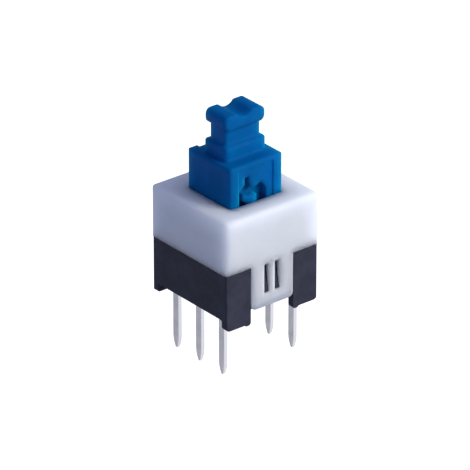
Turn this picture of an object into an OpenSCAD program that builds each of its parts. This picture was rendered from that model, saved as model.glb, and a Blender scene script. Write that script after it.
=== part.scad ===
// Momentary push switch for a circuit board, two poles, six pins.
// The origin is the centre of the housing on the board, +Z points up along the press.

/* [Housing] */
// Side of the square base
body_w = 8; // [7.8:0.1:9]
// How far the cover and its tongues stand proud of the base
cover_over = 0.06; // [0.02:0.01:0.1]
// Height of the seam between base and cover above the board
seam_z = 4.35; // [4:0.05:4.8]
// Height of the cover's top above the board
body_h = 8.25; // [8:0.05:9]
// Radius of the base's upright corners
base_corner_r = 0.12; // [0.08:0.02:0.3]
// Radius of the cover's upright corners
cover_corner_r = 0.25; // [0.2:0.05:0.5]
// Radius of the cover's top edge
cover_edge_r = 0.15; // [0.08:0.01:0.18]
// Thickness of the cover's top
cover_top_t = 1; // [0.8:0.05:1.2]
// Thickness of the base's floor
floor_t = 0.7; // [0.5:0.05:0.9]
// Thickness of the side walls outside the terminals
side_wall_t = 0.78; // [0.66:0.02:0.86]
// Thickness of the end walls beside the tongues
end_wall_t = 0.6; // [0.5:0.05:0.7]

/* [Feet] */
// Height of a foot below the base's lower edge
foot_h = 0.85; // [0.6:0.05:1]
// Thickness of a foot
foot_t = 0.5; // [0.4:0.05:0.6]
// Radius of a foot's lower corners
foot_r = 0.18; // [0.1:0.02:0.22]
// Radius of the fillet where a foot meets the lower edge
foot_fillet_r = 0.15; // [0.1:0.01:0.2]

/* [Snap tongues] */
// Width of the base's legs on each side of a tongue
leg_w = 2.15; // [2:0.05:2.4]
// Thickness of a tongue
tongue_t = 0.5; // [0.4:0.05:0.55]
// Height of a tongue's end above the board
tongue_end_z = 1.05; // [1:0.05:1.4]
// Radius of the corners at a tongue's end
tongue_r = 0.35; // [0.2:0.05:0.5]
// Clearance round a tongue in its channel
tongue_clear = 0.05; // [0.03:0.01:0.08]
// Thickness of the wall behind a tongue
backing_t = 0.5; // [0.4:0.05:0.55]
// Width of a snap window
window_w = 0.52; // [0.4:0.02:0.6]
// Width of the strip between the two windows of a tongue
window_strip = 0.4; // [0.3:0.05:0.6]
// Height of the windows' lower edge above the board
window_low_z = 2; // [1.8:0.1:2.4]
// Distance from the windows' upper edge to the seam
window_top_in = 0.1; // [0.05:0.05:0.3]
// Clearance between a catch and its window
catch_clear = 0.05; // [0.03:0.01:0.08]

/* [Plunger] */
// Height of the guide block's top above the cover
plunger_rise = 2.9; // [2.7:0.05:3.4]
// Radius of the guide block's upright edges
plunger_corner_r = 0.12; // [0.1:0.02:0.2]
// Radius of the guide block's top edge
plunger_edge_r = 0.08; // [0.04:0.01:0.09]
// Clearance of the guide block in the cover's opening
guide_clear = 0.06; // [0.04:0.01:0.1]
// Length of the press
travel = 2.5; // [2:0.1:2.6]
// Room left under the plunger when it is fully pressed
bottom_clear = 0.15; // [0.1:0.05:0.3]
// Inset of the sunk panels from the guide block's sides
panel_in = 0.75; // [0.65:0.05:0.85]
// Depth of the front panel
front_panel_d = 0.08; // [0.06:0.02:0.2]
// Depth of the back panel
back_panel_d = 0.32; // [0.2:0.02:0.4]
// Distance of the front panel's end from the guide block's top
panel_top_in = 0.3; // [0.25:0.05:0.5]
// Height of the retaining shoulders under the cover's top
shoulder_h = 0.7; // [0.5:0.05:0.9]
// Inset of the retaining shoulders from the guide block's front and back
shoulder_in = 0.55; // [0.3:0.05:0.7]
// Gap between the shoulders and the cover's top at rest
stop_gap = 0.04; // [0.02:0.01:0.1]

/* [Plunger head] */
// Width of the collar
collar_w = 3.55; // [3.3:0.05:3.8]
// Depth of the collar
collar_d = 2.4; // [2.2:0.05:2.6]
// Height of the collar above the guide block
collar_h = 1.02; // [0.8:0.02:1.4]
// Radius of the collar's upright edges
collar_r = 0.3; // [0.25:0.05:0.4]
// Inset of the neck from the collar's ends
neck_in_x = 0.25; // [0.2:0.05:0.35]
// Inset of the neck from the collar's front and back
neck_in_y = 0.35; // [0.3:0.05:0.5]
// Radius of the neck's upright edges
neck_r = 0.2; // [0.1:0.05:0.3]
// Length of the neck between the collar and the lobes
neck_h = 1.16; // [0.8:0.02:1.4]
// Width of the head over its two lobes
head_w = 3.44; // [3.3:0.02:3.6]
// Depth of the head
head_d = 2.2; // [2:0.05:2.4]
// Height of the lobes
lobe_h = 1.1; // [1:0.02:1.2]
// Radius of the lobes' round sides
lobe_r = 0.42; // [0.3:0.02:0.5]
// Radius of the edges at the lobes' ends
lobe_edge_r = 0.12; // [0.06:0.02:0.2]
// Width of the trough between the lobes
trough_w = 1.5; // [1.2:0.05:1.7]
// Depth of the trough between the lobes
trough_d = 0.34; // [0.2:0.02:0.4]

/* [Cam track] */
// Depth of the track below the front panel
track_d = 0.5; // [0.4:0.05:0.55]
// Left side of the track, from the plunger's middle
track_left = -1.42; // [-1.5:0.02:-1.3]
// Right side of the track, from the plunger's middle
track_right = 0.92; // [0.8:0.02:1.2]
// Height of the track's left shoulder above the cover
track_top = 1.38; // [1.3:0.02:1.7]
// Height of the track's right shoulder above the cover
arch_top = 1.2; // [1.1:0.02:1.4]
// Width of the slope at the track's right shoulder
arch_slope_w = 0.4; // [0.2:0.05:0.4]
// Height of the slope at the track's right shoulder
arch_slope_h = 0.55; // [0.2:0.05:0.7]
// Left side of the upright slot, from the plunger's middle
slot_left = -0.94; // [-1.04:0.02:-0.8]
// Width of the upright slot
slot_w = 0.38; // [0.3:0.02:0.44]
// Height of the upright slot's end above the track's left shoulder
slot_h = 0.54; // [0.3:0.05:0.7]
// Place of the tooth's tip, from the plunger's middle
tooth_x = -0.2; // [-0.3:0.02:-0.1]
// Length of the tooth
tooth_h = 0.47; // [0.3:0.01:0.56]
// Width of the ramp on the tooth's right
ramp_w = 0.55; // [0.4:0.05:0.7]
// Gap between the track's left side and the island
island_gap = 0.27; // [0.2:0.02:0.4]
// Width of the island
island_w = 1.23; // [1:0.01:1.4]
// Height of the island's seat above the cover
island_z = 0.47; // [0.4:0.01:0.6]
// Height of the island's horn above its seat
horn_h = 0.33; // [0.1:0.02:0.34]
// Width of the horn's slope
horn_w = 0.45; // [0.3:0.05:0.6]
// Depth of the island's left side below its seat
island_left_h = 0.22; // [0.1:0.05:0.4]
// Depth of the island's right side below its seat
island_right_h = 0.82; // [0.5:0.05:1]
// Depth of the island's lower tip below its seat
island_h = 1.02; // [0.9:0.02:1.6]

/* [Terminals] */
// Distance between the pins of a row
pin_pitch = 2.5; // [2.4:0.02:2.54]
// Width of a pin
pin_w = 0.6; // [0.5:0.02:0.7]
// Thickness of the terminals' sheet
terminal_t = 0.3; // [0.25:0.01:0.35]
// Length of the pins below the board's face
pin_len = 4; // [3.2:0.1:5]
// Length of the taper at a pin's end
pin_taper = 1; // [0.6:0.1:1.4]
// Width of a pin's blunt tip
pin_tip_w = 0.2; // [0.16:0.02:0.24]
// Clearance of a pin in the base's floor
pin_clear = 0.02; // [0.01:0.01:0.04]
// Height of the shoulders by which a terminal sits on the floor
seat_h = 0.3; // [0.2:0.05:0.35]
// Height of a contact pad
pad_h = 1.2; // [0.8:0.1:1.3]
// Room between the outer pads and the end walls
pad_clear = 0.3; // [0.2:0.05:0.35]

/* [Contact clips] */
// Thickness of a clip's sheet
clip_t = 0.12; // [0.1:0.01:0.15]
// Room for a clip between the guide block and the terminals
clip_room = 0.65; // [0.55:0.05:0.75]
// Height of the ledge that carries a clip
clip_ledge = 0.25; // [0.2:0.05:0.4]
// Clearance above and below a clip in its seat
clip_clear = 0.03; // [0.02:0.01:0.05]
// Width of a clip's finger
finger_w = 0.5; // [0.4:0.05:0.55]
// Distance from a clip's middle finger to the outer ones
finger_pitch = 1.85; // [1.75:0.05:1.9]
// Gap between the fingers and the terminals
contact_gap = 0.05; // [0.04:0.01:0.08]

/* [Return spring] */
// Thickness of the wall between the spring's pocket and the cam track
pocket_wall = 0.42; // [0.3:0.02:0.5]
// Diameter of the spring's wire
wire_d = 0.26; // [0.2:0.02:0.3]
// Number of open turns
open_turns = 6; // [4:1:8]
// Clearance of the coil round its boss and in its pocket
spring_clear = 0.12; // [0.1:0.01:0.15]
// Height of the boss that centres the spring
boss_h = 0.8; // [0.5:0.1:1]
// Height of the spring pocket's end above the cover
pocket_rise = 0.85; // [0.5:0.05:1.2]

/* [Hidden] */
$fn = 64;
// Overlap that lets a cutting shape pass through a face
cut = 0.5;

// Heights of the housing
floor_z = foot_h + floor_t;
ceiling_z = body_h - cover_top_t;
window_high_z = seam_z - window_top_in;

// Distances of the walls from the middle
cover_w = body_w + 2 * cover_over;
side_in = body_w / 2 - side_wall_t;
cover_in = side_in + tongue_clear;
end_in = body_w / 2 - end_wall_t;
channel_w = body_w - 2 * leg_w;
tongue_w = channel_w - 2 * tongue_clear;
channel_in = cover_w / 2 - tongue_t - tongue_clear;
backing_w = channel_w + 2 * end_wall_t;
window_x = (window_w + window_strip) / 2;

// Plane on which the fingers slide, and what stays inside it
row_x = side_in - terminal_t / 2;
contact_x = side_in - terminal_t;
finger_x = contact_x - contact_gap;
shoulder_x = contact_x - 3 * contact_gap;

// Widths of the plunger and its opening
plunger_w = 2 * (contact_x - clip_room);
panel_w = plunger_w - 2 * panel_in;
shoulder_w = plunger_w - 2 * shoulder_in;
opening_w = plunger_w + 2 * guide_clear;
opening_r = plunger_corner_r + guide_clear;

// Heights of the plunger
plunger_low_z = floor_z + travel + bottom_clear;
block_top_z = body_h + plunger_rise;
collar_top_z = block_top_z + collar_h;
lobe_z = collar_top_z + neck_h + lobe_h / 2;
shoulder_top_z = ceiling_z - stop_gap;
shoulder_low_z = shoulder_top_z - shoulder_h;
pocket_top_z = body_h + pocket_rise;

// Seats of the clips and the contact pads that they reach
clip_low_z = plunger_low_z + clip_ledge;
clip_mid_z = (clip_low_z + shoulder_low_z) / 2;
clip_h = shoulder_low_z - clip_low_z - 2 * clip_clear;
clip_w = 2 * finger_pitch + finger_w;
pad_out = end_in - pad_clear;
pad_in = finger_pitch - finger_w / 2 - contact_gap;
riser_in = finger_pitch + finger_w / 2 + 4 * contact_gap;
blade_top_z = clip_mid_z + pad_h / 2;

// Spring
pocket_d = plunger_w - 2 * (front_panel_d + track_d + pocket_wall);
spring_d = pocket_d - wire_d - 2 * spring_clear;
boss_d = spring_d - wire_d - 2 * spring_clear;
wire_sides = 8;
turn_steps = 20;
end_turns = 1;

// Rectangle with round corners, centred
module rounded_rect(w, d, r) {
    square([w - 2 * r, d], center = true);
    square([w, d - 2 * r], center = true);
    for (x = [-1, 1], y = [-1, 1])
        translate([x * (w / 2 - r), y * (d / 2 - r)])
            circle(r);
}

// Upright rectangle that stands on the X axis, with its top corners round
module top_rounded(w, h, r) {
    translate([-w / 2, 0])
        square([w, h - r]);
    translate([r - w / 2, 0])
        square([w - 2 * r, h]);
    for (x = [-1, 1])
        translate([x * (w / 2 - r), h - r])
            circle(r);
}

// Square block from z0 to z1 with round upright corners and a round top edge
module rounded_block(w, z0, z1, corner_r, edge_r) {
    h = z1 - z0;
    flat = w - 2 * corner_r;
    translate([0, 0, z0]) {
        rotate([90, 0, 0])
            linear_extrude(flat, center = true)
                top_rounded(w, h, edge_r);
        rotate([90, 0, 90])
            linear_extrude(flat, center = true)
                top_rounded(w, h, edge_r);
        for (quarter = [0:3])
            rotate([0, 0, 90 * quarter])
                translate([flat / 2, flat / 2, 0])
                    rotate_extrude(angle = 90)
                        rounded_post(h, corner_r, edge_r);
    }
}

// Half section of a round corner post with a round top edge
module rounded_post(h, corner_r, edge_r) {
    square([corner_r, h - edge_r]);
    square([corner_r - edge_r, h]);
    translate([corner_r - edge_r, h - edge_r])
        intersection() {
            circle(edge_r);
            square(edge_r);
        }
}

// Outline drawn on X and Z, pulled along Y from y0 to y1
module pull_y(y0, y1) {
    translate([0, y1, 0])
        rotate([90, 0, 0])
            linear_extrude(y1 - y0)
                children();
}

// Outline drawn on Y and Z, pulled along X from x0 to x1
module pull_x(x0, x1) {
    translate([x0, 0, 0])
        rotate([90, 0, 90])
            linear_extrude(x1 - x0)
                children();
}

// The two ends of the housing, front and back, that carry a tongue
module both_ends() {
    for (turn = [0, 180])
        rotate([0, 0, turn])
            children();
}

// Snap tongue at the front, with its two windows
module tongue() {
    pull_y(-cover_w / 2, tongue_t - cover_w / 2)
        difference() {
            union() {
                translate([-tongue_w / 2, tongue_end_z + tongue_r])
                    square([tongue_w, seam_z + cut - tongue_end_z - tongue_r]);
                translate([tongue_r - tongue_w / 2, tongue_end_z])
                    square([tongue_w - 2 * tongue_r, tongue_r]);
                for (x = [-1, 1])
                    translate([x * (tongue_w / 2 - tongue_r), tongue_end_z + tongue_r])
                        circle(tongue_r);
            }
            for (x = [-1, 1])
                translate([x * window_x - window_w / 2, window_low_z])
                    square([window_w, window_high_z - window_low_z]);
        }
}

module cover() {
    color("#e3e9f2") {
        difference() {
            rounded_block(cover_w, seam_z, body_h, cover_corner_r, cover_edge_r);
            translate([0, 0, ceiling_z - cut])
                linear_extrude(cover_top_t + 2 * cut)
                    rounded_rect(opening_w, opening_w, opening_r);
            translate([-cover_in, -end_in, seam_z - cut])
                cube([2 * cover_in, 2 * end_in, ceiling_z - seam_z + cut]);
        }
        both_ends()
            tongue();
    }
}

// Foot at the front left corner, square to the end wall
module foot() {
    y0 = -body_w / 2;
    intersection() {
        pull_x(-body_w / 2, leg_w - body_w / 2) {
            translate([y0, 0])
                square([foot_t, foot_h + floor_t]);
            difference() {
                translate([y0 + foot_t, foot_h - foot_fillet_r])
                    square([foot_fillet_r, foot_fillet_r + floor_t]);
                translate([y0 + foot_t + foot_fillet_r, foot_h - foot_fillet_r])
                    circle(foot_fillet_r);
            }
        }
        pull_y(y0 - cut, y0 + foot_t + foot_fillet_r + cut)
            translate([leg_w / 2 - body_w / 2, 0]) {
                translate([-leg_w / 2, foot_r])
                    square([leg_w, foot_h + floor_t]);
                translate([foot_r - leg_w / 2, 0])
                    square([leg_w - 2 * foot_r, foot_h]);
                for (x = [-1, 1])
                    translate([x * (leg_w / 2 - foot_r), foot_r])
                        circle(foot_r);
            }
        linear_extrude(foot_h + floor_t)
            rounded_rect(body_w, body_w, base_corner_r);
    }
}

// Wedge catch of a front window: level with the backing at its top, proud at its foot
module catch() {
    low = window_low_z + catch_clear;
    high = window_high_z - catch_clear;
    root = backing_t / 2 - channel_in;
    pull_x(catch_clear - window_w / 2, window_w / 2 - catch_clear)
        polygon([
            [root, low],
            [tongue_clear - body_w / 2, low],
            [-channel_in, high],
            [root, high]
        ]);
}

module base() {
    color("#2f313c")
        difference() {
            union() {
                difference() {
                    translate([0, 0, foot_h])
                        linear_extrude(seam_z - foot_h)
                            rounded_rect(body_w, body_w, base_corner_r);
                    translate([-side_in, -end_in, floor_z])
                        cube([2 * side_in, 2 * end_in, seam_z]);
                }
                both_ends() {
                    translate([-backing_w / 2, -channel_in, foot_h])
                        cube([backing_w, backing_t, seam_z - foot_h]);
                    foot();
                    mirror([1, 0, 0])
                        foot();
                }
                translate([0, 0, floor_z - floor_t / 2])
                    cylinder(d = boss_d, h = floor_t / 2 + boss_h);
            }
            both_ends()
                difference() {
                    translate([-channel_w / 2, -body_w / 2 - cut, foot_h - cut])
                        cube([channel_w, body_w / 2 + cut - channel_in, seam_z - foot_h + 2 * cut]);
                    for (x = [-1, 1])
                        translate([x * window_x, 0, 0])
                            catch();
                }
            for (x = [-1, 1], y = [-1, 0, 1])
                translate([x * row_x, y * pin_pitch, foot_h - cut])
                    linear_extrude(floor_t + 2 * cut)
                        square([terminal_t + 2 * pin_clear, pin_w + 2 * pin_clear], center = true);
        }
}

// Outline of the cam track on X and Z, with Z counted from the cover's top
module track_outline() {
    low = plunger_low_z - body_h - cut;
    slot_right = slot_left + slot_w;
    tooth_z = track_top - tooth_h;
    difference() {
        polygon([
            [track_left, low],
            [track_left, tooth_z],
            [slot_left, track_top],
            [slot_left, track_top + slot_h],
            [slot_right, track_top + slot_h],
            [slot_right, track_top],
            [tooth_x, tooth_z],
            [tooth_x + ramp_w, arch_top],
            [track_right - arch_slope_w, arch_top],
            [track_right, arch_top - arch_slope_h],
            [track_right, low]
        ]);
        island_outline();
    }
}

// Heart-shaped island that the track runs round
module island_outline() {
    left = track_left + island_gap;
    right = left + island_w;
    polygon([
        [left, island_z + horn_h],
        [left + horn_w, island_z],
        [right, island_z],
        [right, island_z - island_right_h],
        [tooth_x, island_z - island_h],
        [left, island_z - island_left_h]
    ]);
}

// Side view of the head: a bar with round ends and a round trough along its top
module head_outline() {
    trough_r = (pow(trough_w / 2, 2) + pow(trough_d, 2)) / (2 * trough_d);
    difference() {
        rounded_rect(head_w, lobe_h, lobe_r);
        translate([0, lobe_h / 2 - trough_d + trough_r])
            circle(trough_r);
    }
}

// Two-lobed head on its neck
module head() {
    neck_w = collar_w - 2 * neck_in_x;
    neck_d = collar_d - 2 * neck_in_y;
    translate([0, 0, collar_top_z - cut])
        linear_extrude(lobe_z - collar_top_z + cut)
            rounded_rect(neck_w, neck_d, neck_r);
    intersection() {
        pull_y(-head_d, head_d)
            translate([0, lobe_z])
                head_outline();
        pull_x(-head_w, head_w)
            translate([0, lobe_z])
                rounded_rect(head_d, lobe_h + lobe_edge_r / 3, lobe_edge_r);
    }
}

module plunger() {
    panel_h = block_top_z - plunger_low_z + cut;
    color("#0a4f94")
        difference() {
            union() {
                rounded_block(plunger_w, plunger_low_z, block_top_z, plunger_corner_r, plunger_edge_r);
                translate([-shoulder_x, -shoulder_w / 2, shoulder_low_z])
                    cube([2 * shoulder_x, shoulder_w, shoulder_h]);
                translate([0, 0, block_top_z - cut])
                    linear_extrude(collar_h + cut)
                        rounded_rect(collar_w, collar_d, collar_r);
                head();
            }
            // Sunk panels on the front and back
            translate([-panel_w / 2, -plunger_w / 2 - cut, plunger_low_z - cut])
                cube([panel_w, cut + front_panel_d, panel_h - panel_top_in]);
            translate([-panel_w / 2, plunger_w / 2 - back_panel_d, plunger_low_z - cut])
                cube([panel_w, cut + back_panel_d, panel_h + cut]);
            // Cam track in the front panel
            pull_y(-plunger_w / 2 - cut, front_panel_d + track_d - plunger_w / 2)
                translate([0, body_h])
                    track_outline();
            // Seats of the contact clips
            for (x = [-1, 1])
                translate([x * plunger_w / 2, 0, clip_mid_z])
                    cube([2 * clip_t, plunger_w + cut, shoulder_low_z - clip_low_z], center = true);
            // Pocket of the return spring
            translate([0, 0, plunger_low_z - cut])
                cylinder(d = pocket_d, h = pocket_top_z - plunger_low_z + cut);
        }
}

// Contact clip of one side: a plate in the plunger's seat with three bowed fingers
module contact_clip(side) {
    bow = finger_x - plunger_w / 2;
    bow_steps = 12;
    outer = [
        for (i = [0:bow_steps])
            let (up = 2 * i / bow_steps - 1)
            [finger_x - bow * pow(up, 2), clip_mid_z + up * clip_h / 2]
    ];
    inner = [for (i = [bow_steps:-1:0]) [outer[i][0] - clip_t, outer[i][1]]];
    color("#c9a86a")
        mirror([side < 0 ? 1 : 0, 0, 0]) {
            translate([plunger_w / 2 - clip_t, -clip_w / 2, clip_mid_z - clip_h / 2])
                cube([clip_t, clip_w, clip_h]);
            for (finger = [-1:1])
                pull_y(finger * finger_pitch - finger_w / 2, finger * finger_pitch + finger_w / 2)
                    polygon(concat(outer, inner));
        }
}

// Right edge of a pin's rounded taper, from its start to its tip
function taper_points(w) =
    let (steps = 4, drop = (w - pin_tip_w) / 2)
    [for (i = [0:steps]) [w / 2 - drop * pow(i / steps, 2), (steps - i) / steps * pin_taper - pin_len]];

// Outline of a pin: a shank that ends at the height top, above a taper that starts at the width w
module pin_outline(w, shank_w, top) {
    right = taper_points(w);
    left = [for (i = [len(right) - 1:-1:0]) [-right[i][0], right[i][1]]];
    shank_z = right[0][1];
    polygon(concat(
        [[-shank_w / 2, shank_z], [-shank_w / 2, top], [shank_w / 2, top], [shank_w / 2, shank_z]],
        right,
        left
    ));
}

// Rectangle of the terminals' sheet, from y0 to y1 and from z0 to z1
module sheet(y0, y1, z0, z1) {
    translate([-terminal_t / 2, y0, z0])
        cube([terminal_t, y1 - y0, z1 - z0]);
}

// Terminal of one side: a pin in its row, and a blade above the floor that its children make
module terminal(side, row_y) {
    color("#c8c9ce")
        translate([side * row_x, 0, 0]) {
            intersection() {
                pull_x(-terminal_t / 2, terminal_t / 2)
                    translate([row_y, 0])
                        pin_outline(pin_w, pin_w, floor_z + seat_h);
                pull_y(-body_w, body_w)
                    pin_outline(terminal_t, 3 * terminal_t, body_h);
            }
            children();
        }
}

// Common terminal: a plain blade that the middle finger never leaves
module terminal_common(side) {
    terminal(side, 0)
        sheet(-finger_w, finger_w, floor_z, blade_top_z);
}

// Terminal at the back of its row, met at rest: its pad is at the top of a slim riser
module terminal_closed(side) {
    terminal(side, pin_pitch) {
        sheet(pad_in, pad_out, floor_z, floor_z + seat_h);
        sheet(riser_in, pad_out, floor_z, blade_top_z);
        sheet(pad_in, pad_out, blade_top_z - pad_h, blade_top_z);
    }
}

// Terminal at the front of its row, met when the plunger is pressed: its pad is low
module terminal_open(side) {
    terminal(side, -pin_pitch)
        sheet(-pad_out, -pad_in, floor_z, blade_top_z - travel);
}

// Point on the spring's centre line after a number of turns
function spring_point(turns, low, high) =
    let (
        all = open_turns + 2 * end_turns,
        open_pitch = (high - low - 2 * end_turns * wire_d) / open_turns,
        rise = min(turns, end_turns) * wire_d
            + max(0, min(turns - end_turns, open_turns)) * open_pitch
            + max(0, turns - all + end_turns) * wire_d
    )
    [spring_d / 2 * cos(360 * turns), spring_d / 2 * sin(360 * turns), low + rise];

module return_spring() {
    low = floor_z + wire_d / 2;
    high = pocket_top_z - wire_d / 2;
    rings = (open_turns + 2 * end_turns) * turn_steps;
    points = [
        for (i = [0:rings], k = [0:wire_sides - 1])
            let (
                p = spring_point(i / turn_steps, low, high),
                turn = 360 * i / turn_steps,
                out = wire_d / 2 * cos(360 * k / wire_sides)
            )
            [p[0] + out * cos(turn), p[1] + out * sin(turn), p[2] + wire_d / 2 * sin(360 * k / wire_sides)]
    ];
    sides = [
        for (i = [0:rings - 1], k = [0:wire_sides - 1])
            let (next = (k + 1) % wire_sides)
            [i * wire_sides + k, i * wire_sides + next, (i + 1) * wire_sides + next, (i + 1) * wire_sides + k]
    ];
    first = [for (k = [wire_sides - 1:-1:0]) k];
    last = [for (k = [0:wire_sides - 1]) rings * wire_sides + k];
    color("#b9bcc2")
        polyhedron(points, concat(sides, [first], [last]), convexity = 10);
}

base();
cover();
plunger();
return_spring();
contact_clip(-1);  // contact_clip_left
contact_clip(1);  // contact_clip_right
terminal_common(-1);  // terminal_common_left
terminal_closed(-1);  // terminal_closed_left
terminal_open(-1);  // terminal_open_left
terminal_common(1);  // terminal_common_right
terminal_closed(1);  // terminal_closed_right
terminal_open(1);  // terminal_open_right
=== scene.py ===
import math

import bmesh
import bpy
from mathutils import Matrix, Vector


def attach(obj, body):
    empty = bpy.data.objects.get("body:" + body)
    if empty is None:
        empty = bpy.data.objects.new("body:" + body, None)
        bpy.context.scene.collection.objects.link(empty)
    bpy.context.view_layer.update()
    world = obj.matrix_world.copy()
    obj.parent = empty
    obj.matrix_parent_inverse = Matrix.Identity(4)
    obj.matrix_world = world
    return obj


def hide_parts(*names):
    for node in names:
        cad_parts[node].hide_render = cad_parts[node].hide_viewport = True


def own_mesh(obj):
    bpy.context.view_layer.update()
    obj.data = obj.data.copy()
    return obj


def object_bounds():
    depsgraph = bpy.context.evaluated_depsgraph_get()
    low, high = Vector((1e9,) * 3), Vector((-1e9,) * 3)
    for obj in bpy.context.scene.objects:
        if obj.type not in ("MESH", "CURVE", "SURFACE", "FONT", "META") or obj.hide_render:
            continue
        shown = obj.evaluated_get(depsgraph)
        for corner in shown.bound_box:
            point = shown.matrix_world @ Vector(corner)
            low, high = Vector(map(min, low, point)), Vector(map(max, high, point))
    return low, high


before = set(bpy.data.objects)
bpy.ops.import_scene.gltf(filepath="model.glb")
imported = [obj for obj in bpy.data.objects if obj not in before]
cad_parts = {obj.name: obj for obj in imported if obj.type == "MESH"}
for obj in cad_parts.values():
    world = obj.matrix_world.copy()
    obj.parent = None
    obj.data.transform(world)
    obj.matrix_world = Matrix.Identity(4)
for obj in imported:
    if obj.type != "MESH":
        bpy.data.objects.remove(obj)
cadLow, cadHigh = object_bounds()
scene = bpy.context.scene
print("frame loaded")

mm = 0.001  # metres
past = 0.5  # mm that a cutting tool reaches beyond what it cuts
weldGap = 0.001  # mm, points closer than this become one
flatAngle = 0.4  # degrees, faces this close to one plane become one
sharpAngle = 50  # degrees, sharper edges stay crisp in the shading
halfTurn = Matrix.Rotation(math.pi, 4, "Z")
mirrorX = Matrix.Scale(-1, 4, (1, 0, 0))


# drawing helpers, all in mm; finishPiece brings a piece to metres

def meshObject(name, bm):
    bmesh.ops.recalc_face_normals(bm, faces=bm.faces)
    mesh = bpy.data.meshes.new(name)
    bm.to_mesh(mesh)
    bm.free()
    piece = bpy.data.objects.new(name, mesh)
    scene.collection.objects.link(piece)
    return piece


def roundedRect(width, depth, radius, z, steps=8):
    points = []
    for quarter, (sx, sy) in enumerate(((1, 1), (-1, 1), (-1, -1), (1, -1))):
        for k in range(steps + 1):
            angle = math.radians(90 * quarter + 90 * k / steps)
            points.append((sx * (width / 2 - radius) + radius * math.cos(angle),
                           sy * (depth / 2 - radius) + radius * math.sin(angle), z))
    return points


def circle(radius, z, steps):
    angles = [2 * math.pi * k / steps for k in range(steps)]
    return [(radius * math.cos(a), radius * math.sin(a), z) for a in angles]


def rolledRings(width, depth, cornerRadius, top, roll, steps):
    # upper end of a block, with its edge rolled inwards
    rings = []
    for k in range(steps + 1):
        angle = math.radians(90 * k / steps)
        inset = roll * (1 - math.cos(angle))
        rings.append(roundedRect(width - 2 * inset, depth - 2 * inset, cornerRadius - inset,
                                 top - roll * (1 - math.sin(angle))))
    return rings


def flaredRings(width, depth, cornerRadius, start, flare, steps, way):
    # a flare that narrows to a straight wall, up (way 1) or down (way -1) from start
    rings = []
    for k in range(steps + 1):
        angle = math.radians(90 * k / steps)
        out = flare * (1 - math.sin(angle))
        rings.append(roundedRect(width + 2 * out, depth + 2 * out, cornerRadius + out,
                                 start + way * flare * (1 - math.cos(angle))))
    return rings


def softOutline(corners, steps=6):
    # corners are (u, v, radius); a radius of 0 keeps the corner
    points = []
    for i, (u, v, radius) in enumerate(corners):
        here = Vector((u, v))
        if not radius:
            points.append((u, v))
            continue
        back = (Vector(corners[i - 1][:2]) - here).normalized()
        on = (Vector(corners[(i + 1) % len(corners)][:2]) - here).normalized()
        half = back.angle(on) / 2
        middle = here + (back + on).normalized() * radius / math.sin(half)
        start = here + back * radius / math.tan(half) - middle
        end = here + on * radius / math.tan(half) - middle
        first = math.atan2(start.y, start.x)
        turn = (math.atan2(end.y, end.x) - first + math.pi) % (2 * math.pi) - math.pi
        for k in range(steps + 1):
            angle = first + turn * k / steps
            points.append((middle.x + radius * math.cos(angle), middle.y + radius * math.sin(angle)))
    return points


def loft(name, rings, closed=False):
    # skin over rings of equal count; an open one gets end caps
    bm = bmesh.new()
    loops = [[bm.verts.new(point) for point in ring] for ring in rings]
    for low, high in zip(loops, loops[1:] + (loops[:1] if closed else [])):
        for k in range(len(low)):
            j = (k + 1) % len(low)
            bm.faces.new((low[k], low[j], high[j], high[k]))
    if not closed:
        bm.faces.new(loops[0])
        bm.faces.new(loops[-1])
    return meshObject(name, bm)


def prism(name, outline, axis, low, high):
    place = {"x": lambda u, v, t: (t, u, v),
             "y": lambda u, v, t: (u, t, v),
             "z": lambda u, v, t: (u, v, t)}[axis]
    return loft(name, [[place(u, v, t) for u, v in outline] for t in (low, high)])


def block(name, low, high):
    return prism(name, [(low[0], low[1]), (high[0], low[1]), (high[0], high[1]), (low[0], high[1])],
                 "z", low[2], high[2])


def placedCopy(piece, matrix):
    copy = piece.copy()
    copy.data = piece.data.copy()
    copy.data.transform(matrix)
    if matrix.is_negative:  # a mirror image comes out inside out
        copy.data.flip_normals()
    scene.collection.objects.link(copy)
    return copy


def settle(piece):
    mesh = bpy.data.meshes.new_from_object(piece.evaluated_get(bpy.context.evaluated_depsgraph_get()))
    piece.modifiers.clear()
    piece.data = mesh


def cleanMesh(piece, joinFlat=False):
    bm = bmesh.new()
    bm.from_mesh(piece.data)
    bmesh.ops.remove_doubles(bm, verts=bm.verts, dist=weldGap)
    bmesh.ops.dissolve_degenerate(bm, edges=bm.edges, dist=weldGap)
    if joinFlat:
        bmesh.ops.dissolve_limit(bm, angle_limit=math.radians(flatAngle), verts=bm.verts, edges=bm.edges)
    bm.to_mesh(piece.data)
    bm.free()


def combine(piece, operation, *tools):
    for tool in tools:
        step = piece.modifiers.new("step", "BOOLEAN")
        step.operation = operation
        step.solver = "EXACT"
        step.object = tool
        settle(piece)
        bpy.data.objects.remove(tool)
        cleanMesh(piece)


def softenEdges(piece, width, segments=3, angle=35):
    # joins flat faces that the cuts left split, then rolls every crisp edge
    cleanMesh(piece, joinFlat=True)
    roll = piece.modifiers.new("roll", "BEVEL")
    roll.width = width
    roll.segments = segments
    roll.limit_method = "ANGLE"
    roll.angle_limit = math.radians(angle)
    roll.use_clamp_overlap = True
    settle(piece)


def finishPiece(piece, body, slotName, material, *nodes):
    piece.data.transform(Matrix.Scale(mm, 4))
    piece.data.materials.clear()
    piece.data.materials.append(material)
    piece.data.shade_smooth()
    piece.data.set_sharp_from_angle(angle=math.radians(sharpAngle))
    flat = piece.modifiers.new("flat faces stay flat", "WEIGHTED_NORMAL")
    flat.keep_sharp = True
    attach(piece, body)
    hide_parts(*nodes)


def hexColour(code):
    parts = [int(code[i:i + 2], 16) / 255 for i in (1, 3, 5)]
    return tuple(p / 12.92 if p <= 0.04045 else ((p + 0.055) / 1.055) ** 2.4 for p in parts) + (1.0,)


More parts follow.
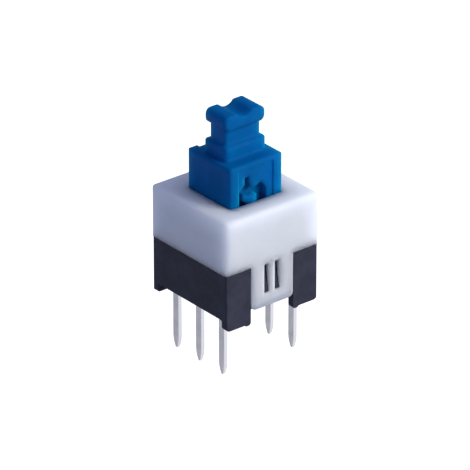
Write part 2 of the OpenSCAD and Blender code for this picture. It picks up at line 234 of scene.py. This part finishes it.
def addNode(tree, kind, settings=None, links=None):
    node = tree.nodes.new(kind)
    for key, value in (settings or {}).items():
        if hasattr(node, key) and key not in node.inputs:
            setattr(node, key, value)
        else:
            node.inputs[key].default_value = value
    for key, source in (links or {}).items():
        tree.links.new(source, node.inputs[key])
    return node


def grainScale(size):
    return 1000 / size  # texture scale for a grain of that many mm, on coordinates in metres


def newMaterial(name, shader):
    material = bpy.data.materials.new(name)
    material.use_nodes = True
    tree = material.node_tree
    tree.nodes.clear()
    bsdf = addNode(tree, "ShaderNodeBsdfPrincipled", shader)
    addNode(tree, "ShaderNodeOutputMaterial", None, {"Surface": bsdf.outputs["BSDF"]})
    place = addNode(tree, "ShaderNodeTexCoord").outputs["Object"]
    return material, tree, bsdf, place


# in the looks, grain, drift, soft and bump are mm: the skin's grain, the slow change from light to shade,
# how far corners shade softly and the height of the grain. A mould's spark-eroded skin is really about
# 0.05 mm and draw lines about 0.01 mm, so both are drawn coarser to show.

# acetal, moulded white: satin, lets a little light in, so corners look soft
coverLook = {"light": "#eef4f3", "shade": "#e9f0f0", "rough": (0.44, 0.56),
             "grain": 0.16, "drift": 2.4, "soft": 0.9, "bump": 0.012,
             "shader": {"Subsurface Weight": 1.0, "Subsurface Radius": (0.95, 0.97, 1.0),
                        "Subsurface Scale": 0.003, "IOR": 1.48, "Specular IOR Level": 0.12}}

# glass-filled nylon, moulded black: duller, with a faint cloudy grey from the fibres at the skin
baseLook = {"light": "#393a45", "shade": "#30313b", "rough": (0.42, 0.62),
            "grain": 0.12, "drift": 1.1, "soft": 0.1, "bump": 0.016,
            "shader": {"IOR": 1.53, "Specular IOR Level": 0.03}}

# acetal, moulded blue: deep even colour and hardly any gloss, corners soft as light spreads inside
plungerLook = {"light": "#005c96", "shade": "#00548b", "rough": (0.42, 0.56),
               "grain": 0.14, "drift": 2.0, "soft": 0.5, "bump": 0.012,
               "shader": {"Subsurface Weight": 0.2, "Subsurface Radius": (0.2, 0.5, 1.0),
                          "Subsurface Scale": 0.012, "IOR": 1.48, "Specular IOR Level": 0.02}}

# brass, stamped and tin plated: grey faces brushed lengthwise, and sheared edges painted bright, partly the die's
# burnished cut and partly a painted reflection of the light in front
pinLook = {"light": "#9a9aa0", "shade": "#8e8e95", "edge": "#c5c5ca", "rough": (0.2, 0.32),
           "grain": 0.07, "drift": 0.9, "bump": 0.006, "stretch": (1.0, 1.0, 0.12)}

# phosphor bronze strip, rolled: warm, with fine lines along the roll
clipLook = {"light": "#c99a5c", "shade": "#b3834a", "rough": (0.25, 0.4),
            "grain": 0.06, "drift": 0.7, "bump": 0.005, "stretch": (1.0, 0.12, 1.0)}

# music wire, drawn and nickel plated: even grey with a faint grain
springLook = {"light": "#c9cbd0", "shade": "#b4b7bd", "rough": (0.22, 0.36),
              "grain": 0.05, "drift": 0.6, "bump": 0.004, "stretch": (1.0, 1.0, 1.0)}

toneRange = (0.35, 0.65)  # where the drift is all shade and all light


def driftTone(tree, look, place, detail, roughness):
    drift = addNode(tree, "ShaderNodeTexNoise",
                    {"Scale": grainScale(look["drift"]), "Detail": detail, "Roughness": roughness},
                    {"Vector": place})
    tone = addNode(tree, "ShaderNodeValToRGB", None, {"Fac": drift.outputs["Fac"]})
    for k, colour in enumerate((look["shade"], look["light"])):
        tone.color_ramp.elements[k].position = toneRange[k]
        tone.color_ramp.elements[k].color = hexColour(colour)
    return tone.outputs["Color"]


def dressShader(tree, bsdf, look, colour, pattern, strength, bumpLinks=None):
    # one pattern changes the gloss and lifts the skin
    gloss = addNode(tree, "ShaderNodeMapRange", {"To Min": look["rough"][0], "To Max": look["rough"][1]},
                    {"Value": pattern})
    skin = addNode(tree, "ShaderNodeBump", {"Strength": strength, "Distance": look["bump"] * mm},
                   {"Height": pattern, **(bumpLinks or {})})
    tree.links.new(colour, bsdf.inputs["Base Color"])
    tree.links.new(gloss.outputs["Result"], bsdf.inputs["Roughness"])
    tree.links.new(skin.outputs["Normal"], bsdf.inputs["Normal"])


def mouldedPlastic(name, look):
    material, tree, bsdf, place = newMaterial(name, look["shader"])
    colour = driftTone(tree, look, place, detail=3.0, roughness=0.55)
    grain = addNode(tree, "ShaderNodeTexNoise",
                    {"Scale": grainScale(look["grain"]), "Detail": 2.0, "Roughness": 0.5}, {"Vector": place})
    soft = addNode(tree, "ShaderNodeBevel", {"samples": 8, "Radius": look["soft"] * mm})
    dressShader(tree, bsdf, look, colour, grain.outputs["Fac"], 0.5, {"Normal": soft.outputs["Normal"]})
    return material


def drawnMetal(name, look):
    material, tree, bsdf, place = newMaterial(name, {"Metallic": 1.0})
    colour = driftTone(tree, look, place, detail=2.0, roughness=0.5)
    if "edge" in look:  # the strip lies in the YZ plane, so its sheared edges look along Y; faces turned along Y get a lighter colour, a painted reflection
        facing = addNode(tree, "ShaderNodeSeparateXYZ", None, {"Vector": place.node.outputs["Normal"]})
        paintedSheen = addNode(tree, "ShaderNodeMath", {"operation": "ABSOLUTE"}, {0: facing.outputs["Y"]})
        colour = addNode(tree, "ShaderNodeMixRGB", {"Color2": hexColour(look["edge"])},
                         {"Fac": paintedSheen.outputs["Value"], "Color1": colour}).outputs["Color"]
    lines = addNode(tree, "ShaderNodeMapping", {"Scale": look["stretch"]}, {"Vector": place})
    brushed = addNode(tree, "ShaderNodeTexNoise",
                      {"Scale": grainScale(look["grain"]), "Detail": 3.0, "Roughness": 0.6},
                      {"Vector": lines.outputs["Vector"]})
    dressShader(tree, bsdf, look, colour, brushed.outputs["Fac"], 0.4)
    return material


whiteAcetal = mouldedPlastic("white acetal, moulded", coverLook)
blackNylon = mouldedPlastic("black glass-filled nylon, moulded", baseLook)
blueAcetal = mouldedPlastic("blue acetal, moulded", plungerLook)
tinnedBrass = drawnMetal("brass, stamped and tin plated", pinLook)
bronzeStrip = drawnMetal("phosphor bronze, rolled strip", clipLook)
springWire = drawnMetal("music wire, drawn and nickel plated", springLook)
print("materials ready")


cover = {"width": 8.12, "seam": 4.35, "top": 8.25, "cornerRadius": 0.25, "edgeRadius": 0.18,
         "ceiling": 7.25, "roomX": 6.54, "roomY": 6.8, "roomRadius": 0.2,
         "opening": 4.66, "openingRadius": 0.18, "lipRadius": 0.06,
         "tongueWidth": 3.6, "tongueThick": 0.5, "tongueEnd": 1.05, "tongueRadius": 0.35,
         "windowX": 0.46, "windowWidth": 0.52, "windowLow": 2.0, "windowHigh": 4.25, "windowRadius": 0.06,
         "roll": 0.05}


def makeCover(size):
    width, opening, seam, top = size["width"], size["opening"], size["seam"], size["top"]
    rings = [roundedRect(width, width, size["cornerRadius"], seam)]
    rings += rolledRings(width, width, size["cornerRadius"], top, size["edgeRadius"], 8)
    rings += flaredRings(opening, opening, size["openingRadius"], top, size["lipRadius"], 4, -1)
    rings.append(roundedRect(opening, opening, size["openingRadius"], size["ceiling"]))
    for z in (size["ceiling"], seam):
        rings.append(roundedRect(size["roomX"], size["roomY"], size["roomRadius"], z))
    piece = loft("coverShell", rings, closed=True)

    # a tongue with two windows on the front and on the back
    front, half = -width / 2, size["tongueWidth"] / 2
    inside = front + size["tongueThick"]
    end, bend = size["tongueEnd"], size["tongueRadius"]
    tongue = prism("tongue", softOutline([(-half, end, bend), (half, end, bend), (half, seam, 0), (-half, seam, 0)]),
                   "y", front, inside)
    low, high, corner = size["windowLow"], size["windowHigh"], size["windowRadius"]
    for middle in (-size["windowX"], size["windowX"]):
        left, right = middle - size["windowWidth"] / 2, middle + size["windowWidth"] / 2
        outline = softOutline([(left, low, corner), (right, low, corner),
                               (right, high, corner), (left, high, corner)], 3)
        combine(tongue, "DIFFERENCE", prism("window", outline, "y", front - past, inside + past))
    combine(piece, "UNION", placedCopy(tongue, halfTurn), tongue)
    softenEdges(piece, size["roll"])
    return piece


coverPiece = makeCover(cover)
finishPiece(coverPiece, "housing", "cover_plastic", whiteAcetal, "cover")
print("cover made")


base = {"width": 8.0, "cornerRadius": 0.12, "low": 0.85, "seam": 4.35,
        "floor": 1.55, "roomX": 6.44, "roomY": 6.8, "roomRadius": 0.2,
        "channel": 3.7, "channelDepth": 0.49, "backingWidth": 4.9, "backingThick": 0.5,
        "catchGap": 0.05, "catchRoot": 0.2, "catchNose": 0.12, "catchTip": 0.02,
        "footThick": 0.5, "footCorner": 0.35, "footRadius": 0.2, "footRound": 0.3, "footFillet": 0.15,
        "footSpare": 0.02, "nubWidth": 0.42, "nubHeight": 0.1,
        "bossRadius": 0.77, "bossHeight": 0.8, "bossRoot": 0.3,
        "rowX": 3.07, "pitch": 2.5, "slot": (0.34, 0.64), "slotPast": 0.3, "roll": 0.05}


def makeBase(size):
    width, low, seam, floorTop = size["width"], size["low"], size["seam"], size["floor"]
    front, legIn = -width / 2, -size["channel"] / 2
    channelFloor = front + size["channelDepth"]
    piece = loft("baseShell", [roundedRect(width, width, size["cornerRadius"], z) for z in (low, seam)])
    room = loft("room", [roundedRect(size["roomX"], size["roomY"], size["roomRadius"], z)
                         for z in (floorTop, seam + 2 * past)])
    combine(piece, "DIFFERENCE", room)
    backing = block("backing", (-size["backingWidth"] / 2, channelFloor, low),
                    (size["backingWidth"] / 2, channelFloor + size["backingThick"], seam))
    combine(piece, "UNION", placedCopy(backing, halfTurn), backing)

    # feet: side view with a round inner lower edge and root, cut to the front view with its small nub to stand on
    back, bend, root, lift = front + size["footThick"], size["footRound"], size["footFillet"], size["nubHeight"]
    ahead, under, above = front - 2 * past, -2 * past, low + 2 * past
    angles = [math.radians(15 * k) for k in range(7)]
    sideView = [(ahead, under), (back - bend, under)]
    sideView += [(back - bend + bend * math.sin(a), bend - bend * math.cos(a)) for a in angles]
    sideView += [(back + root - root * math.cos(a), low - root + root * math.sin(a)) for a in angles]
    foot = prism("foot", sideView + [(ahead, low)], "x", ahead, legIn + 2 * past)
    nubIn, out = legIn - size["nubWidth"], front - size["footSpare"]
    frontView = softOutline([(out, lift, size["footCorner"]), (nubIn - lift, lift, 0), (nubIn, 0, 0),
                             (legIn, 0, size["footRadius"]), (legIn, above, 0), (out, above, 0)])
    combine(foot, "INTERSECT", prism("footFront", frontView, "y", ahead, back + 2 * past),
            loft("corner", [roundedRect(width, width, size["cornerRadius"], z) for z in (under, seam)]))
    otherFoot = placedCopy(foot, mirrorX)
    combine(piece, "UNION", placedCopy(foot, halfTurn), placedCopy(otherFoot, halfTurn), foot, otherFoot)

    # boss that centres the spring
    combine(piece, "UNION", loft("boss", [circle(size["bossRadius"], z, 32) for z in
                                          (floorTop - size["bossRoot"], floorTop + size["bossHeight"])]))

    # channel of each tongue, less the two wedge catches that stay standing in it
    channel = block("channel", (legIn, front - past, low - past), (-legIn, channelFloor, seam + past))
    gap, tip = size["catchGap"], size["catchTip"]
    catchLow, catchHigh = cover["windowLow"] + gap, cover["windowHigh"] - gap
    catchIn, reach = channelFloor + size["catchRoot"], cover["windowWidth"] / 2 - gap
    wedgeView = [(catchIn, catchLow), (front + gap, catchLow), (front + gap + tip, catchLow + size["catchNose"]),
                 (channelFloor - tip, catchHigh - tip), (catchIn, catchHigh)]
    for middle in (-cover["windowX"], cover["windowX"]):
        combine(channel, "DIFFERENCE", prism("wedge", wedgeView, "x", middle - reach, middle + reach))
    combine(piece, "DIFFERENCE", placedCopy(channel, halfTurn), channel)

    # a slot in the floor for each terminal
    halfX, halfY = size["slot"][0] / 2, size["slot"][1] / 2
    slotLow, slotTop = low - size["slotPast"], floorTop + size["slotPast"]
    for x in (-size["rowX"], size["rowX"]):
        for y in (-size["pitch"], 0, size["pitch"]):
            combine(piece, "DIFFERENCE", block("slot", (x - halfX, y - halfY, slotLow),
                                               (x + halfX, y + halfY, slotTop)))
    softenEdges(piece, size["roll"])
    return piece


basePiece = makeBase(base)
finishPiece(basePiece, "housing", "base_plastic", blackNylon, "base")
print("base made")


plunger = {"width": 4.54, "low": 4.2, "top": 11.15, "cornerRadius": 0.12, "edgeRadius": 0.08,
           "panelHalf": 1.52, "panelRadius": 0.15, "frontPanel": 0.08, "frontPanelTop": 10.85, "backPanel": 0.32,
           "shoulder": (2.77, 1.72, 6.51, 7.21), "coverTop": 8.25, "trackDepth": 0.5,
           "collar": (3.55, 2.4, 12.17), "collarRadius": 0.3, "collarRoll": 0.14,
           "neck": (3.05, 1.7), "neckRadius": 0.2, "neckFillet": 0.14, "neckSink": 0.01, "rootSink": 0.4,
           "headWidth": 3.44, "headDepth": 2.2, "headLow": 13.33, "headTop": 14.43, "headRoll": 0.1,
           "lobeRadius": 0.42, "troughDepth": 0.34, "troughRadius": 0.8, "ridgeRadius": 0.3,
           "clipSeat": (2.15, 4.45, 6.51), "clipRoom": 3.0, "pocketRadius": 1.27, "pocketTop": 9.1,
           "roll": 0.05}

# the cam track and its heart, (x, height above the cover, corner radius)
camTrack = [(-1.42, -4.5, 0), (-1.42, 0.91, 0.1), (-0.94, 1.38, 0.08), (-0.94, 1.92, 0.06), (-0.56, 1.92, 0.06),
            (-0.56, 1.38, 0.05), (-0.2, 0.91, 0.05), (0.35, 1.2, 0.08), (0.52, 1.2, 0.08), (0.92, 0.65, 0.2),
            (0.92, -4.5, 0)]
camHeart = [(-1.15, 0.8, 0.05), (-0.7, 0.47, 0.08), (0.08, 0.47, 0.05), (0.08, -0.35, 0.08), (-0.2, -0.55, 0.08),
            (-1.15, 0.25, 0.1)]


def headOutline(size):
    # round lobes, flat tops, and a trough that runs smoothly into them
    lobe, low, top = size["lobeRadius"], size["headLow"], size["headTop"]
    ridge, trough, depth = size["ridgeRadius"], size["troughRadius"], size["troughDepth"]
    lobeX = size["headWidth"] / 2 - lobe
    ridgeX = math.sqrt(depth * (2 * (trough + ridge) - depth))
    lean = math.asin(ridgeX / (trough + ridge))
    right = []
    for degrees in range(-90, 91, 9):
        angle, middle = math.radians(degrees), low + lobe if degrees < 0 else top - lobe
        right.append((lobeX + lobe * math.cos(angle), middle + lobe * math.sin(angle)))
    ridgeSteps, troughSteps = 5, 6
    for k in range(ridgeSteps + 1):
        angle = lean * k / ridgeSteps
        right.append((ridgeX - ridge * math.sin(angle), top - ridge * (1 - math.cos(angle))))
    for k in range(troughSteps - 1, -1, -1):
        angle = lean * k / troughSteps
        right.append((trough * math.sin(angle), top - depth + trough - trough * math.cos(angle)))
    return right + [(-x, z) for x, z in reversed(right[:-1])]


def makePlunger(size):
    width, low, top = size["width"], size["low"], size["top"]
    half, under = width / 2, low - 2 * past
    rings = [roundedRect(width, width, size["cornerRadius"], low)]
    rings += rolledRings(width, width, size["cornerRadius"], top, size["edgeRadius"], 6)
    piece = loft("plungerStem", rings)
    reach, wide, shoulderLow, shoulderTop = size["shoulder"]
    combine(piece, "UNION", block("shoulder", (-reach, -wide, shoulderLow), (reach, wide, shoulderTop)))

    # sunk panels: the front one stops short of the top, the back one runs through it
    panel, panelTop, corner = size["panelHalf"], size["frontPanelTop"], size["panelRadius"]
    outline = softOutline([(-panel, under, 0), (panel, under, 0),
                           (panel, panelTop, corner), (-panel, panelTop, corner)], 4)
    combine(piece, "DIFFERENCE", prism("frontPanel", outline, "y", -half - past, size["frontPanel"] - half),
            block("backPanel", (-panel, half - size["backPanel"], under), (panel, half + past, top + 2 * past)))

    trackLine, heartLine = ([(x, size["coverTop"] + z) for x, z in softOutline(line, 4)]
                            for line in (camTrack, camHeart))
    track = prism("track", trackLine, "y", -half - past, size["frontPanel"] + size["trackDepth"] - half)
    combine(track, "DIFFERENCE", prism("heart", heartLine, "y", -half - 2 * past, half))
    combine(piece, "DIFFERENCE", track)

    # collar, neck and head, each sunk into its neighbour
    collarWidth, collarDepth, collarTop = size["collar"]
    rings = [roundedRect(collarWidth, collarDepth, size["collarRadius"], top - size["rootSink"])]
    rings += rolledRings(collarWidth, collarDepth, size["collarRadius"], collarTop, size["collarRoll"], 5)
    combine(piece, "UNION", loft("collar", rings))
    neckWidth, neckDepth = size["neck"]
    rings = flaredRings(neckWidth, neckDepth, size["neckRadius"], collarTop - size["neckSink"],
                        size["neckFillet"], 5, 1)
    rings.append(roundedRect(neckWidth, neckDepth, size["neckRadius"], size["headLow"] + size["rootSink"]))
    combine(piece, "UNION", loft("neck", rings))
    head = prism("head", headOutline(size), "y", -size["headDepth"] / 2, size["headDepth"] / 2)
    softenEdges(head, size["headRoll"], segments=5, angle=60)
    combine(piece, "UNION", head)

    # seats for the two contact clips, and the spring's pocket
    seatX, seatLow, seatTop = size["clipSeat"]
    outside = size["clipRoom"]
    for left, right in ((-outside, -seatX), (seatX, outside)):
        combine(piece, "DIFFERENCE", block("seat", (left, -outside, seatLow), (right, outside, seatTop)))
    combine(piece, "DIFFERENCE", loft("pocket", [circle(size["pocketRadius"], z, 40)
                                                 for z in (under, size["pocketTop"])]))
    softenEdges(piece, size["roll"])
    return piece


plungerPiece = makePlunger(plunger)
finishPiece(plungerPiece, "plunger", "plunger_plastic", blueAcetal, "plunger")
print("plunger made")


# nose gives the last rings of the tip: how much narrower, share of the edge radius, height above the end
terminal = {"rowX": 3.07, "pitch": 2.5, "thick": 0.3, "width": 0.6, "edge": 0.03,
            "end": -4.0, "taper": 1.0, "tip": 0.2, "tipHeight": 0.05,
            "nose": ((0.05, 0.8, 0.015), (0.11, 0.5, 0)),
            "floor": 1.55, "seat": 1.85, "bladeTop": 6.08, "bladeHalf": 0.5, "travel": 2.5,
            "padHeight": 1.2, "padIn": 1.55, "padOut": 3.1, "riserIn": 2.3, "corner": 0.08, "riserCorner": 0.1}


def makeTerminal(name, side, kind, size):
    x = side * size["rowX"]
    y = {"common": 0, "closed": 1, "open": -1}[kind] * size["pitch"]
    thick, width, edge = size["thick"], size["width"], size["edge"]
    end, taper, tip = size["end"], size["taper"], size["tip"]
    rings = [roundedRect(thick, width, edge, z, 3) for z in (size["seat"], end + taper)]
    for k in range(1, 9):  # bullet-shaped end
        part = k / 8
        rings.append(roundedRect(thick - (thick - tip) * part ** 2, width - (width - tip) * part ** 2, edge,
                                 end + taper * (1 - part) + size["tipHeight"] * part, 3))
    for narrower, share, height in size["nose"]:
        rings.append(roundedRect(tip - narrower, tip - narrower, edge * share, end + height, 3))
    piece = loft(name, rings)
    piece.data.transform(Matrix.Translation((x, y, 0)))

    # the blade inside the housing, (y, z, corner radius)
    low, top, seat, half = size["floor"], size["bladeTop"], size["seat"], size["bladeHalf"]
    padIn, padOut, padLow = size["padIn"], size["padOut"], top - size["padHeight"]
    riser, openTop, corner, inner = size["riserIn"], top - size["travel"], size["corner"], size["riserCorner"]
    outlines = {
        "common": [(-half, low, 0), (half, low, 0), (half, top, corner), (-half, top, corner)],
        "closed": [(padIn, low, 0), (padOut, low, 0), (padOut, top, corner), (padIn, top, corner),
                   (padIn, padLow, corner), (riser, padLow, inner), (riser, seat, inner), (padIn, seat, corner)],
        "open": [(-padOut, low, 0), (-padIn, low, 0), (-padIn, openTop, corner), (-padOut, openTop, corner)]}
    blade = prism("blade", softOutline(outlines[kind], 4), "x", x - thick / 2, x + thick / 2)
    softenEdges(blade, edge, segments=2)
    combine(piece, "UNION", blade)
    return piece


for side, sideName in ((-1, "left"), (1, "right")):
    for kind in ("common", "closed", "open"):
        node = "terminal_" + kind + "_" + sideName
        pin = makeTerminal(kind + sideName.capitalize() + "Terminal", side, kind, terminal)
        finishPiece(pin, "housing", "tinned_brass", tinnedBrass, node)
print("terminals made")


spring = {"radius": 1.02, "wire": 0.26, "low": 1.55, "high": 9.1, "openTurns": 6, "travel": 2.5,
          "steps": 36, "sides": 10}


def makeSpring(size):
    # a closed turn at each end, open turns between
    wire, openTurns = size["wire"], size["openTurns"]
    turns = openTurns + 2
    openPitch = (size["high"] - size["low"] - 3 * wire) / openTurns
    rings = []
    for i in range(turns * size["steps"] + 1):
        t = i / size["steps"]
        closedRun = min(t, 1) + max(0, t - turns + 1)
        openRun = max(0, min(t - 1, openTurns))
        z = size["low"] + wire / 2 + closedRun * wire + openRun * openPitch
        angle = 2 * math.pi * t
        ring = []
        for k in range(size["sides"]):
            turn = 2 * math.pi * k / size["sides"]
            out = size["radius"] + wire / 2 * math.cos(turn)
            ring.append((out * math.cos(angle), out * math.sin(angle), z + wire / 2 * math.sin(turn)))
        rings.append(ring)
    return loft("returnSpring", rings)


springPiece = makeSpring(spring)
finishPiece(springPiece, "housing", "spring_steel", springWire, "return_spring")
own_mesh(springPiece)

for sideName in ("left", "right"):
    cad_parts["contact_clip_" + sideName].material_slots[0].material = bronzeStrip
print("spring and clips made")


stage = {"floorSize": 3.0, "floorColour": "#b4b4b4", "floorRoughness": 0.9, "floorGlow": 0.93,
         "ambient": "#98a2c4", "ambientStrength": 0.84,
         "key": (0.46, -0.72, 0.44), "keyDistance": 1.0, "keySize": 0.5, "keyPower": 10.3}
view = {"azimuth": -39.05, "elevation": 27.1, "target": (0, 0, 0.00468), "lens": 400, "sensor": 36,
        "frameWidth": 0.03209, "clip": (0.01, 20)}

floorMesh = bmesh.new()
bmesh.ops.create_grid(floorMesh, x_segments=2, y_segments=2, size=stage["floorSize"] / 2)
floor = meshObject("floor", floorMesh)
floor.location.z = cadLow[2]
floor.data.materials.append(newMaterial(
    "matt white paper", {"Roughness": stage["floorRoughness"], "Base Color": hexColour(stage["floorColour"]),
                         "Emission Color": (1, 1, 1, 1), "Emission Strength": stage["floorGlow"]})[0])
floor.visible_diffuse = False  # its glow whitens the ground without lighting the switch from below

world = bpy.data.worlds.new("studio")
world.use_nodes = True
background = world.node_tree.nodes["Background"]
background.inputs["Color"].default_value = hexColour(stage["ambient"])
background.inputs["Strength"].default_value = stage["ambientStrength"]
scene.world = world

keyLight = bpy.data.lights.new("softbox", "AREA")
keyLight.shape = "SQUARE"
keyLight.size = stage["keySize"]
keyLight.energy = stage["keyPower"]
key = bpy.data.objects.new("softbox", keyLight)
toward = Vector(stage["key"]).normalized()
key.location = toward * stage["keyDistance"]
key.rotation_euler = toward.to_track_quat("Z", "Y").to_euler()
scene.collection.objects.link(key)

azimuth, elevation = math.radians(view["azimuth"]), math.radians(view["elevation"])
back = Vector((math.sin(azimuth) * math.cos(elevation), -math.cos(azimuth) * math.cos(elevation), math.sin(elevation)))
lens = bpy.data.cameras.new("camera")
lens.lens = view["lens"]
lens.sensor_width = view["sensor"]
lens.clip_start, lens.clip_end = view["clip"]
camera = bpy.data.objects.new("camera", lens)
camera.location = Vector(view["target"]) + back * view["frameWidth"] * view["lens"] / view["sensor"]
camera.rotation_euler = back.to_track_quat("Z", "Y").to_euler()
scene.collection.objects.link(camera)
scene.camera = camera
scene.view_settings.view_transform = "Standard"
print("stage set")
